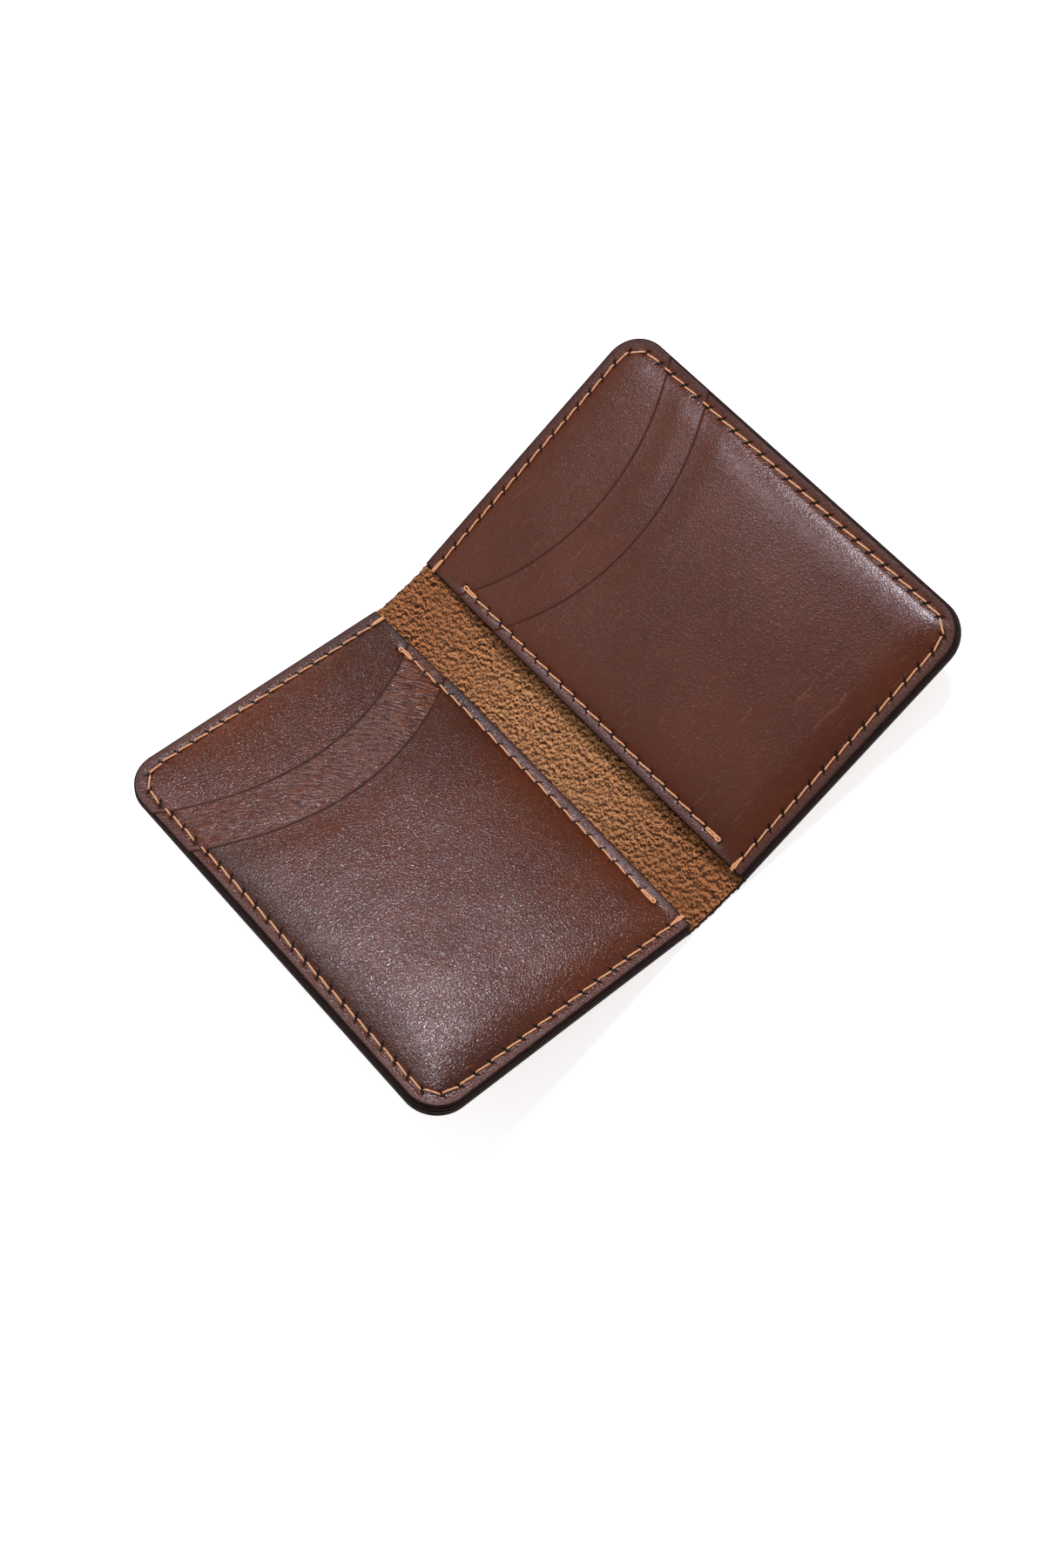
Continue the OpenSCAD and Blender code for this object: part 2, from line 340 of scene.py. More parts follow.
def sheet(name, side, grid, top, bottom, slots, placer=place, fields=None, mouth=None, next_mouth=None,
          roughened=1.0):
    """A closed sheet of leather: a grid's top and bottom, joined by a rounded rim.

    Its points also carry the coordinates and strengths that the materials read.
    """
    u, y = grid
    ny, nu = u.shape
    index = np.arange(ny * nu).reshape(ny, nu)
    loop = np.concatenate([index[0, :-1], index[:-1, -1], index[-1, :0:-1], index[:0:-1, 0]])
    flat = np.stack([u.ravel(), y.ravel()], axis=1)
    tops, bottoms = top.ravel(), bottom.ravel()
    out = loop_normals(flat[loop])
    out[flat[loop, 0] < -CREASE_X + 0.001, 0] = 0      # the two cover halves meet without a rim
    rings = [np.column_stack([flat[loop] + out * RIM * f, tops[loop] + (bottoms[loop] - tops[loop]) * g])
             for f, g in RIM_PROFILE]
    points = np.concatenate([np.column_stack([flat, tops]), np.column_stack([flat, bottoms])] + rings)
    quads = np.stack([index[:-1, :-1], index[:-1, 1:], index[1:, 1:], index[1:, :-1]], axis=-1).reshape(-1, 4)
    count = ny * nu
    strips = [loop] + [2 * count + k * len(loop) + np.arange(len(loop)) for k in range(len(rings))]
    strips.append(loop + count)
    walls = [np.stack([hi, lo, np.roll(lo, -1), np.roll(hi, -1)], axis=1)
             for hi, lo in zip(strips[:-1], strips[1:])]
    faces = np.concatenate([quads, quads[:, ::-1] + count] + walls)
    wall = np.full(len(loop), EDGE_SLOT)
    if mouth is not None:
        wall[nu + ny - 2:2 * nu + ny - 3] = MOUTH_SLOT      # the upper side of the loop
    kinds = np.concatenate([np.zeros(len(quads)), np.ones(len(quads)), np.tile(wall, len(walls))])
    kinds = kinds.astype(np.int32)
    if side == "left":
        faces = faces[:, ::-1]
    obj = mesh_object(name, placer(side, points), faces, slots, kinds)
    across = SIGN[side] * (points[:, 0] + CREASE_X)     # one pattern runs over both halves
    pattern = [across + PATTERN_SHIFT[0], points[:, 1] + PATTERN_SHIFT[1], points[:, 2]]
    put_vector(obj, "flat", np.column_stack(pattern))
    s, d = edge_seam(points[:, 0], points[:, 1])
    put_vector(obj, "edge_seam", np.column_stack([s * EDGE_N / EDGE_LEN, d, np.zeros(len(s))]))
    s, d = POCKET_TOP - points[:, 1], points[:, 0] - POCKET_U
    put_vector(obj, "pocket_seam", np.column_stack([s * POCKET_N / POCKET_LEN, d, np.zeros(len(s))]))
    for field, rule in (fields or {}).items():
        put_number(obj, field, rule(points[:, 0], points[:, 1]))
    put_number(obj, "grain", np.full(len(points), GRAIN[side] * roughened))
    for field, lowest, way in (("mouth", mouth, 1.0), ("covered", next_mouth, -1.0)):
        beyond = np.full(len(points), FAR)
        if lowest is not None:
            beyond = way * (mouth_y(lowest, points[:, 0]) - points[:, 1])
        put_number(obj, field, beyond)
    away_u, away_y = points[:, 0] - WRINKLE_CENTRE[0], points[:, 1] - WRINKLE_CENTRE[1]
    turned = np.arctan2(away_y, away_u) * WRINKLE_RADIUS
    way = [np.hypot(away_u, away_y), turned, np.zeros(len(turned))]
    put_vector(obj, "wrinkle_way", np.column_stack(way))
    return obj


def mesh_object(name, points, faces, slots, kinds=None):
    """A smooth-shaded mesh object; kinds gives each face its material slot."""
    mesh = bpy.data.meshes.new(name)
    mesh.from_pydata(points.tolist(), [], [list(map(int, f)) for f in faces])
    for material in slots:
        mesh.materials.append(material)
    if kinds is not None:
        mesh.polygons.foreach_set("material_index", kinds)
    mesh.polygons.foreach_set("use_smooth", np.ones(len(faces), bool))
    mesh.update()
    obj = bpy.data.objects.new(name, mesh)
    bpy.context.scene.collection.objects.link(obj)
    return obj


def put_vector(obj, name, values):
    obj.data.attributes.new(name, "FLOAT_VECTOR", "POINT").data.foreach_set(
        "vector", np.asarray(values, np.float32).ravel())


def put_number(obj, name, values):
    obj.data.attributes.new(name, "FLOAT", "POINT").data.foreach_set(
        "value", np.asarray(values, np.float32).ravel())


# ---------------------------------------------------------------- materials
DARK = (0.083, 0.0178, 0.0063, 1)
MID = (0.112, 0.0260, 0.0095, 1)
WARM = (0.180, 0.0350, 0.0050, 1)       # stretched leather; at the seams also painted so that they look as if they catch no sheen
SHADE = (0.012, 0.0035, 0.002, 1)       # grain grooves and pores, and painted shade on margins, along seams, in wrinkle valleys and on slopes away from the lamps
TAN = (0.20, 0.064, 0.027, 1)           # lighter crests of the wrinkles, partly stretched leather and partly painted highlight
SCUFF = (0.23, 0.085, 0.045, 1)
LIP = (0.018, 0.0040, 0.0014, 1)        # both sides of a pocket mouth: its dark edge, partly burnished and partly painted shade of its rounded rim, and painted shadow on the layer beyond
# painted shade inside the stitch holes
HOLE = (0.003, 0.001, 0.0007, 1)
# painted shade on the nap towards both ends of the spine
END_SHADE_TINT = (0.45, 0.21, 0.084, 1)
SUNK = (0.05, 0.012, 0.004, 1)          # painted shade on thread going down into its hole

# Depths of the grain's bumps, in millimetres.
PEBBLE_DEEP = 0.08
LINE_DEEP = 0.016
CELL_DEEP = 0.034
PORE_DEEP = 0.03
SPECK_DEEP = 0.16


class Shader:
    """A material being built: short calls that add a node and return its output socket."""

    def __init__(self, name):
        self.material = bpy.data.materials.new(name)
        self.material.use_nodes = True
        self.tree = self.material.node_tree
        self.bsdf = self.tree.nodes["Principled BSDF"]

    def node(self, kind, **settings):
        made = self.tree.nodes.new("ShaderNode" + kind)
        for key, value in settings.items():
            setattr(made, key, value)
        return made

    def set(self, socket, value):
        if isinstance(value, bpy.types.NodeSocket):
            self.tree.links.new(value, socket)
        else:
            socket.default_value = value

    def math(self, operation, a, b=0.0, clamp=False):
        made = self.node("Math", operation=operation, use_clamp=clamp)
        self.set(made.inputs[0], a)
        self.set(made.inputs[1], b)
        return made.outputs[0]

    def attribute(self, name, output="Vector"):
        return self.node("Attribute", attribute_name=name).outputs[output]

    def moved(self, vector, step):
        made = self.node("VectorMath", operation="ADD")
        self.set(made.inputs[0], vector)
        made.inputs[1].default_value = step
        return made.outputs[0]

    def stretch(self, vector, scale, turn=0.0):
        made = self.node("Mapping")
        self.set(made.inputs["Vector"], vector)
        made.inputs["Scale"].default_value = scale
        made.inputs["Rotation"].default_value = (0, 0, turn)
        return made.outputs[0]

    def noise(self, vector, scale, detail=2.0, rough=0.5, output="Fac"):
        made = self.node("TexNoise")
        self.set(made.inputs["Vector"], vector)
        made.inputs["Scale"].default_value = scale
        made.inputs["Detail"].default_value = detail
        made.inputs["Roughness"].default_value = rough
        return made.outputs[output]

    def cells(self, vector, scale, feature="DISTANCE_TO_EDGE"):
        made = self.node("TexVoronoi", feature=feature)
        self.set(made.inputs["Vector"], vector)
        made.inputs["Scale"].default_value = scale
        return made.outputs["Distance"]

    def ramp(self, value, low, high, to_low=0.0, to_high=1.0):
        made = self.node("MapRange", interpolation_type="SMOOTHSTEP")
        self.set(made.inputs["Value"], value)
        for key, number in (("From Min", low), ("From Max", high), ("To Min", to_low), ("To Max", to_high)):
            made.inputs[key].default_value = number
        return made.outputs[0]

    def mix(self, factor, a, b, blend="MIX"):
        made = self.node("Mix", data_type="RGBA", blend_type=blend)
        self.set(made.inputs["Factor"], factor)
        self.set(made.inputs["A"], a)
        self.set(made.inputs["B"], b)
        return made.outputs["Result"]

    def warp(self, vector, scale, amount):
        """Shifts a coordinate by a soft random amount."""
        shift = self.node("VectorMath", operation="SUBTRACT")
        self.set(shift.inputs[0], self.noise(vector, scale, 2.0, output="Color"))
        shift.inputs[1].default_value = (0.5, 0.5, 0.5)
        grow = self.node("VectorMath", operation="SCALE")
        self.set(grow.inputs[0], shift.outputs[0])
        grow.inputs["Scale"].default_value = amount
        add = self.node("VectorMath", operation="ADD")
        self.set(add.inputs[0], vector)
        self.set(add.inputs[1], grow.outputs[0])
        return add.outputs[0]

    def bump(self, height, depth_mm, under=None):
        made = self.node("Bump")
        made.inputs["Strength"].default_value = 1.0
        made.inputs["Distance"].default_value = depth_mm * MM
        self.set(made.inputs["Height"], height)
        if under is not None:
            self.set(made.inputs["Normal"], under)
        return made.outputs[0]

    def finish(self, color, roughness, normal, **constants):
        self.set(self.bsdf.inputs["Base Color"], color)
        self.set(self.bsdf.inputs["Roughness"], roughness)
        self.set(self.bsdf.inputs["Normal"], normal)
        for key, value in constants.items():
            self.bsdf.inputs[key.replace("_", " ")].default_value = value
        return self.material


def stitch_marks(sh, seam):
    """(holes, line, margin): 1 in a seam's slanted holes, on its line, and outside it, near the cut edge."""
    parts = sh.node("SeparateXYZ")
    sh.set(parts.inputs[0], sh.attribute(seam))
    beside = parts.outputs[1]
    along = sh.math("SUBTRACT", sh.math("FRACT", sh.math("ADD", parts.outputs[0], 100.5)), 0.5)
    along = sh.math("MULTIPLY", along, STITCH)
    narrow = sh.math("ABSOLUTE", sh.math("ADD", along, sh.math("MULTIPLY", beside, 0.7)))
    reach = sh.math("ADD", narrow, sh.math("MULTIPLY", sh.math("ABSOLUTE", beside), 0.55))
    last = EDGE_N if seam == "edge_seam" else POCKET_N
    begun = sh.math("GREATER_THAN", parts.outputs[0], -0.3)
    ended = sh.math("LESS_THAN", parts.outputs[0], last + 0.3)
    within = sh.math("MULTIPLY", begun, ended)
    holes = sh.math("MULTIPLY", sh.ramp(reach, 0.36, 0.62, 1.0, 0.0), within)
    line = sh.math("MULTIPLY", sh.ramp(sh.math("ABSOLUTE", beside), 0.15, 0.55, 1.0, 0.0), within)
    margin = sh.ramp(beside, -2.2, -0.6, 1.0, 0.0)
    return holes, line, margin


def grain_leather(name, lining=True, wrinkles=0.0, shine=0.34, margin_shade=0.42, mouth_shade=0.5):
    """Smooth full-grain leather: stretched leather's warm colour, pebble, pores, scuffs, wrinkles and stitch
    holes.

    Pieces of the lining also have the pocket seam. The shades say how dark the outer margins and
    the pocket mouths are. Shade is painted along the seams, on the margins, in the holes, wrinkle
    valleys and pocket mouths; a highlight is painted on wrinkle crests, and the seams' warm colour
    is partly painted so that they look as if they catch no sheen.
    """
    sh = Shader(name)
    flat = sh.attribute("flat")
    cloud = sh.noise(flat, 0.05, 3.0, 0.5)
    mottle = sh.noise(flat, 0.35, 4.0, 0.6)
    worm = sh.warp(flat, 0.9, 0.6)
    pebble = sh.noise(worm, 1.45, 1.0, 0.5)
    lines = sh.ramp(sh.math("ABSOLUTE", sh.math("SUBTRACT", pebble, 0.47)), 0.0, 0.06)
    cell = sh.ramp(sh.cells(sh.warp(flat, 1.3, 0.7), 1.5), 0.0, 0.3)
    pores = sh.ramp(sh.cells(flat, 0.5, "F1"), 0.0, 0.07)
    patch = sh.ramp(sh.noise(flat, 0.11, 2.0), 0.32, 0.66, 0.75, 1.0)
    patch = sh.math("MULTIPLY", patch, sh.attribute("grain", "Fac"))

    color = sh.mix(sh.ramp(cloud, 0.2, 0.85), DARK, MID)
    color = sh.mix(sh.math("MULTIPLY", sh.ramp(mottle, 0.4, 0.75), 0.2), color, WARM)
    # warm colour at the seams: partly stretched leather, partly painted so that they look as if they catch no
    # sheen
    color = sh.mix(sh.attribute("pull_and_no_sheen", "Fac"), color, WARM)
    groove = sh.math("SUBTRACT", 1.0, sh.math("MULTIPLY", lines, cell))
    color = sh.mix(sh.math("MULTIPLY", sh.math("MULTIPLY", groove, patch), 0.52), color, SHADE)
    color = sh.mix(sh.math("MULTIPLY", sh.math("SUBTRACT", 1.0, pores), 0.4), color, SHADE)
    # painted shade where the leather falls to the edge seam and beside the spine
    color = sh.mix(sh.attribute("painted_shade", "Fac"), color, SHADE)
    # lip: each pocket's dark edge at its mouth, partly burnished and partly painted shade of the rounded rim;
    # under: painted shadow on the layer just beyond the next pocket's mouth
    lip = sh.ramp(sh.attribute("mouth", "Fac"), RIM + 0.05, RIM + 0.4, 1.0, 0.0)
    under = sh.ramp(sh.attribute("covered", "Fac"), 0.1, 0.7, 1.0, 0.0)
    mouths = sh.math("MAXIMUM", lip, under)
    color = sh.mix(sh.math("MULTIPLY", mouths, mouth_shade), color, LIP)

    streak = sh.noise(sh.stretch(sh.warp(flat, 0.15, 3.0), (0.07, 1.5, 1.0), 0.5), 1.0, 1.0)
    color = sh.mix(sh.ramp(streak, 0.68, 0.76, 0.0, 0.3), color, SCUFF)
    holes, line, margin = stitch_marks(sh, "edge_seam")
    # painted shade on the flat margins outside the seams, dulling their sheen
    painted_margin_shade = sh.math("MULTIPLY", margin, margin_shade)
    if lining:
        pocket_marks = stitch_marks(sh, "pocket_seam")
        holes, line, margin = (sh.math("MAXIMUM", a, b) for a, b in zip((holes, line, margin), pocket_marks))
        painted_margin_shade = sh.math("MAXIMUM", painted_margin_shade, sh.math("MULTIPLY", pocket_marks[2], 0.4))
    color = sh.mix(painted_margin_shade, color, SHADE)
    # painted shade along each seam's pressed groove
    color = sh.mix(sh.math("MULTIPLY", line, 0.6), color, SHADE)
    # painted shade inside the stitch holes
    color = sh.mix(sh.math("MULTIPLY", holes, 0.95), color, HOLE)

    height = sh.math("MULTIPLY", sh.math("MULTIPLY", pebble, patch), PEBBLE_DEEP)
    for part, depth in ((lines, LINE_DEEP), (cell, CELL_DEEP), (pores, PORE_DEEP)):
        height = sh.math("ADD", height, sh.math("MULTIPLY", sh.math("MULTIPLY", part, patch), depth))
    speck = sh.math("MULTIPLY", margin, sh.noise(flat, 1.7, 2.0))
    height = sh.math("ADD", height, sh.math("MULTIPLY", speck, SPECK_DEEP))
    normal = sh.bump(height, 1.0)
    if wrinkles:
        across = sh.stretch(sh.warp(sh.attribute("wrinkle_way"), 0.3, 1.0), (1.0, 0.22, 1.0))
        ridge = sh.ramp(sh.noise(across, 1.7, 1.5, 0.5), 0.36, 0.64)
        strength = sh.attribute("wrinkle", "Fac")
        # lighter crests, partly painted highlight, and painted shade in the wrinkles' valleys
        color = sh.mix(sh.math("MULTIPLY", sh.ramp(ridge, 0.3, 0.9, 0.0, 0.32), strength), color, TAN)
        color = sh.mix(sh.math("MULTIPLY", sh.ramp(ridge, 0.0, 0.35, 0.5, 0.0), strength), color, SHADE)
        normal = sh.bump(sh.math("MULTIPLY", ridge, strength), wrinkles, normal)
    normal = sh.bump(sh.math("SUBTRACT", 1.0, holes), 0.5, normal)
    roughness = sh.math("ADD", 0.18, sh.math("MULTIPLY", sh.noise(flat, 0.7, 3.0), 0.12))
    dull = sh.math("ADD", sh.math("MULTIPLY", holes, 0.6), sh.math("MULTIPLY", mouths, 0.5))
    dull = sh.math("ADD", dull, sh.math("MULTIPLY", margin, 0.25))
    roughness = sh.math("ADD", roughness, dull, clamp=True)
    return sh.finish(color, roughness, normal, Specular_IOR_Level=shine)


def suede(name, dark, light, coarse, depth):
    """The flesh side: matted fibres, with painted light on one flank and painted shade on the other."""
    sh = Shader(name)
    flat = sh.attribute("flat")
    worm = sh.warp(flat, 0.4, 0.6)
    clump = sh.noise(worm, coarse, 4.0, 0.68)
    # painted light and shade: each clump lighter on one flank and darker on the other
    beyond = sh.moved(worm, (0.28, 0.2, 0))
    flank = sh.math("SUBTRACT", clump, sh.noise(beyond, coarse, 4.0, 0.68))
    lump = sh.math("SUBTRACT", sh.cells(beyond, 1.1 * coarse, "F1"), sh.cells(worm, 1.1 * coarse, "F1"))
    tuft = sh.noise(sh.moved(flat, (9, 4, 0)), 2.1 * coarse, 1.0, 0.5)
    tuft = sh.math("SUBTRACT", tuft, sh.noise(sh.moved(flat, (9.14, 4, 0)), 2.1 * coarse, 1.0, 0.5))
    flank = sh.math("ADD", sh.math("MULTIPLY", flank, 0.6), sh.math("MULTIPLY", tuft, 0.5))
    flank = sh.math("ADD", flank, sh.math("MULTIPLY", lump, 0.22))
    fibre = sh.noise(sh.stretch(worm, (1.0, 0.4, 1.0), 0.7), 4.0 * coarse, 2.0, 0.6)
    cloud = sh.noise(flat, 0.12, 3.0)
    lit = sh.ramp(flank, -0.1, 0.12)
    value = sh.math("ADD", sh.math("MULTIPLY", lit, 0.78), sh.math("MULTIPLY", fibre, 0.35))
    color = sh.mix(sh.ramp(value, 0.15, 0.95), dark, light)
    # darker blotches placed at random: the nap's own uneven tone
    shade = sh.math("MULTIPLY", sh.ramp(cloud, 0.35, 0.7), 0.3)
    color = sh.mix(shade, color, tuple(0.5 * c for c in light[:3]) + (1,))
    # painted shade towards both ends of the spine
    color = sh.mix(sh.attribute("painted_end_shade", "Fac"), color, END_SHADE_TINT, "MULTIPLY")
    normal = sh.bump(clump, depth)
    return sh.finish(color, 0.95, normal, Specular_IOR_Level=0.1, Sheen_Weight=0.1, Sheen_Roughness=0.5)


def burnished(name, dark, light, specular):
    """Dyed and rubbed cut edges."""
    sh = Shader(name)
    flat = sh.attribute("flat")
    streak = sh.noise(sh.stretch(flat, (0.5, 0.5, 5.0)), 1.3, 3.0, 0.6)
    color = sh.mix(sh.ramp(streak, 0.4, 0.8), dark, light)
    normal = sh.bump(sh.noise(flat, 2.2, 4.0, 0.6), 0.08)
    roughness = sh.math("ADD", 0.45, sh.math("MULTIPLY", streak, 0.25))
    return sh.finish(color, roughness, normal, Specular_IOR_Level=specular)


def waxed_thread(name, color_a, color_b):
    """Twisted thread: its plies are in the mesh, its fibres here."""
    sh = Shader(name)
    mm = sh.stretch(sh.node("TexCoord").outputs["Object"], (1000, 1000, 1000))
    fibre = sh.noise(mm, 9.0, 3.0, 0.65)
    color = sh.mix(sh.ramp(fibre, 0.3, 0.7), color_a, color_b)
    # painted shade where the thread goes down into its hole
    color = sh.mix(sh.ramp(sh.attribute("sunk", "Fac"), 0.0, 1.0), color, SUNK)
    normal = sh.bump(fibre, 0.04)
    return sh.finish(color, 0.5, normal, Specular_IOR_Level=0.4, Sheen_Weight=0.15)


cover_grain = grain_leather("cover_grain", lining=False)
liner_grain = {
    "left": grain_leather("left_liner_grain", shine=0.42, margin_shade=0.15, mouth_shade=0.95),
    "right": grain_leather("right_liner_grain"),
}
rear_grain = {
    "left": grain_leather("wrinkled_grain", wrinkles=0.14, shine=0.4, margin_shade=0.15, mouth_shade=0.95),
    "right": liner_grain["right"],
}
nap = suede("suede_nap", (0.036, 0.0115, 0.003, 1), (0.74, 0.345, 0.14, 1), 0.85, 0.9)
flesh = suede("flesh_side", (0.05, 0.018, 0.009, 1), (0.16, 0.07, 0.034, 1), 1.6, 0.3)
edge_dark = burnished("burnished_edge", (0.009, 0.0032, 0.0018, 1), (0.040, 0.012, 0.006, 1), 0.06)
mouth_edge = burnished("mouth_edge", (0.055, 0.0135, 0.0035, 1), (0.12, 0.03, 0.009, 1), 0.03)
thread_top = waxed_thread("orange_thread", (0.62, 0.235, 0.085, 1), (0.95, 0.50, 0.24, 1))


# ---------------------------------------------------------------- leather pieces
FINE = 0.5               # spacing of grid lines where the leather is pressed or curved
COARSE = 1.4             # and where a pocket covers it
BACK_SHOWN_Y = 24        # the back panel is covered below this
REAR_SHOWN_Y = 8         # and the rear pocket below this


def across_lines(low, high):
    """Lines across a half: fine near the seams, coarser in the field."""
    return steps((low, low + 5, FINE), (low + 5, high - 11, 1.0), (high - 11, high, FINE))


def pocket_grid(lowest, set_in, shown_from=None):
    """Grid of a pocket below its curved mouth. Rows above the middle stretch to meet the mouth."""
    inset = RIM + set_in
    low = -HALF_H + inset
    us = across_lines(PANEL_U + RIM, OUTER_U - inset)
    top = lowest
    if shown_from is None:
        ys = steps((low, low + 6, FINE), (low + 6, top - 5, 0.62), (top - 5, top, 0.35))
    else:
        ys = steps((low, shown_from, COARSE), (shown_from, top - 5, FINE), (top - 5, top, 0.35))
    u, y = np.meshgrid(us, ys)
    reach = (mouth_y(lowest, u) - RIM) / top
    y = np.where(y > 0, y * reach, y)
    return round_corners(u, y, inset)


def panel_grid():
    """Grid of a back panel, fine only where it shows."""
    low, high = -HALF_H + RIM, HALF_H - RIM
    us = across_lines(PANEL_U + RIM, OUTER_U - RIM)
    ys = steps((low, BACK_SHOWN_Y, COARSE), (BACK_SHOWN_Y, high, FINE))
    return round_corners(*np.meshgrid(us, ys), RIM)


def cover_grid():
    """Grid of half of the cover, finest at the spine and its crease."""
    low, high = -HALF_H + RIM, HALF_H - RIM
    us = steps((-CREASE_X, 3.1, 0.3), (3.1, OUTER_U - 7, 1.1), (OUTER_U - 7, OUTER_U - RIM, 0.6))
    ys = steps((low, -43, 0.5), (-43, 43, 0.55), (43, high, 0.5))
    return round_corners(*np.meshgrid(us, ys), RIM)


def pull_up_and_no_sheen(strength, field=0.0, outer=0.75):
    """Where the leather is stretched over its seams and shows its lighter, warmer colour, partly painted so
    that these slopes look as if they catch no sheen.
    """
    def rule(u, y):
        d = edge_inset(u, y) - EDGE_INSET
        inner = u - POCKET_U
        near = np.exp(-((np.maximum(d, 0) / 5.5) ** 2)) * (d > -0.4)
        upper = 0.3 + 0.7 * ease((y + 25) / 35)
        spine = np.exp(-((np.maximum(inner, 0) / 8.0) ** 2)) * (inner > -0.4) * upper
        cloudy = 0.65 + 0.35 * waves(u * 2.1, y * 1.7, 4.0)
        return np.clip(field + strength * np.maximum(outer * near, spine) * cloudy, 0, 1)
    return rule


def painted_shade(outer, spine):
    """Painted shade, where the leather falls to the edge seam and beside the upper part of the spine."""
    def rule(u, y):
        d = edge_inset(u, y) - EDGE_INSET
        fall = np.exp(-((d / 6.0) ** 2)) * (d > 0) * ease((u - 30) / 25)
        beside = np.exp(-(((u - POCKET_U) / 17.0) ** 2)) * ease((y + 10) / 25)
        return outer * fall + spine * beside
    return rule


def wrinkled(side):
    """Fine parallel wrinkles, strongest towards the spine."""
    def rule(u, y):
        return WRINKLED[side] * np.clip(1.1 - (u - PANEL_U) / 110, 0.25, 1)
    return rule


def back_panel(side):
    u, y = panel_grid()
    top = back_top(side, u, y) - edge_press(u, y) - pocket_press(u, y) - bevel(u, y, REAR_MOUTH_Y)
    bottom = back_top(side, u, y) - LINER_T
    return sheet(f"back_panel_{side}", side, (u, y), top, bottom, (liner_grain[side], flesh, edge_dark),
                 fields={"pull_and_no_sheen": pull_up_and_no_sheen(PULL_AND_NO_SHEEN[side], FIELD[side]), "painted_shade": painted_shade(0.0, PAINTED_SHADE_SPINE[side])},
                 next_mouth=REAR_MOUTH_Y)


def rear_pocket(side):
    u, y = pocket_grid(REAR_MOUTH_Y, REAR_SET_IN, REAR_SHOWN_Y)
    top = rear_top(side, u, y) - edge_press(u, y) - pocket_press(u, y) - bevel(u, y, FRONT_MOUTH_Y)
    bottom = rear_top(side, u, y) - skived(u, y, REAR_MOUTH_Y)
    slots = (rear_grain[side], flesh, edge_dark, mouth_edge)
    return sheet(f"rear_pocket_{side}", side, (u, y), top, bottom, slots,
                 fields={"pull_and_no_sheen": pull_up_and_no_sheen(0.6 * PULL_AND_NO_SHEEN[side], FIELD[side]), "wrinkle": wrinkled(side)},
                 mouth=REAR_MOUTH_Y, next_mouth=FRONT_MOUTH_Y, roughened=0.9)


def front_pocket(side):
    u, y = pocket_grid(FRONT_MOUTH_Y, FRONT_SET_IN)
    top = front_top(side, u, y) - edge_press(u, y) - pocket_press(u, y) - bevel(u, y)
    bottom = front_top(side, u, y) - skived(u, y, FRONT_MOUTH_Y)
    slots = (liner_grain[side], flesh, edge_dark, mouth_edge)
    return sheet(f"front_pocket_{side}", side, (u, y), top, bottom, slots,
                 fields={"pull_and_no_sheen": pull_up_and_no_sheen(PULL_AND_NO_SHEEN[side], FIELD[side], 0.2),
                         "painted_shade": painted_shade(PAINTED_SHADE_OUTER[side], PAINTED_SHADE_SPINE[side])},
                 mouth=FRONT_MOUTH_Y)


def painted_end_shade(u, y):
    """Painted shade: the nap is darker towards both ends of the spine."""
    return 0.5 * ease((np.abs(y) - 6) / 42)


def nap_height(u, y):
    """Matted fibres of the suede, as low bumps."""
    out = np.zeros(len(u))
    for i, (a, b) in enumerate(zip(u, y)):
        p = Vector((a * 1.15 + 40, b * 1.15 + 70, 0.0))
        q = p + 0.6 * noise.noise_vector(p * 0.8)
        out[i] = 0.5 + 0.9 * noise.noise(q) + 0.6 * noise.noise(q * 2.7)
    return out


def cover(side):
    """Half of the cover: suede inside, grain outside, from the middle of the spine outwards."""
    u, y = cover_grid()
    shape = u.shape
    bare = ease((PANEL_U + 0.9 - u) / 0.8)
    mirrored_u = SIGN[side] * (u + CREASE_X)
    rough = nap_height(mirrored_u.ravel(), y.ravel()).reshape(shape)
    edge_fade = ease((HALF_H - np.abs(y)) / 0.8)
    ragged = nap_height(mirrored_u.ravel() * 1.6, y.ravel() * 0.3).reshape(shape) - 0.5
    y = y - np.sign(y) * 0.28 * ragged * bare * ease((np.abs(y) - HALF_H + 2) / 1.6)
    top = COVER_T + 0.2 * rough * bare * (0.5 + 0.5 * edge_fade)
    s, d = edge_seam(u, y)
    inside = ease((s + 1.0) / 1.0) * ease((EDGE_LEN - s + 1.0) / 1.0)
    bottom = UNDER_GROOVE * np.exp(-((d / 0.55) ** 2)) * inside
    return sheet(f"cover_{side}", side, (u, y), top, bottom, (nap, cover_grain, edge_dark),
                 placer=place_bent, fields={"pull_and_no_sheen": pull_up_and_no_sheen(0.2), "painted_end_shade": painted_end_shade})


# ---------------------------------------------------------------- stitches
PLY_SIDES = 12
PLY_TWIST = 5.2          # radians per millimetre


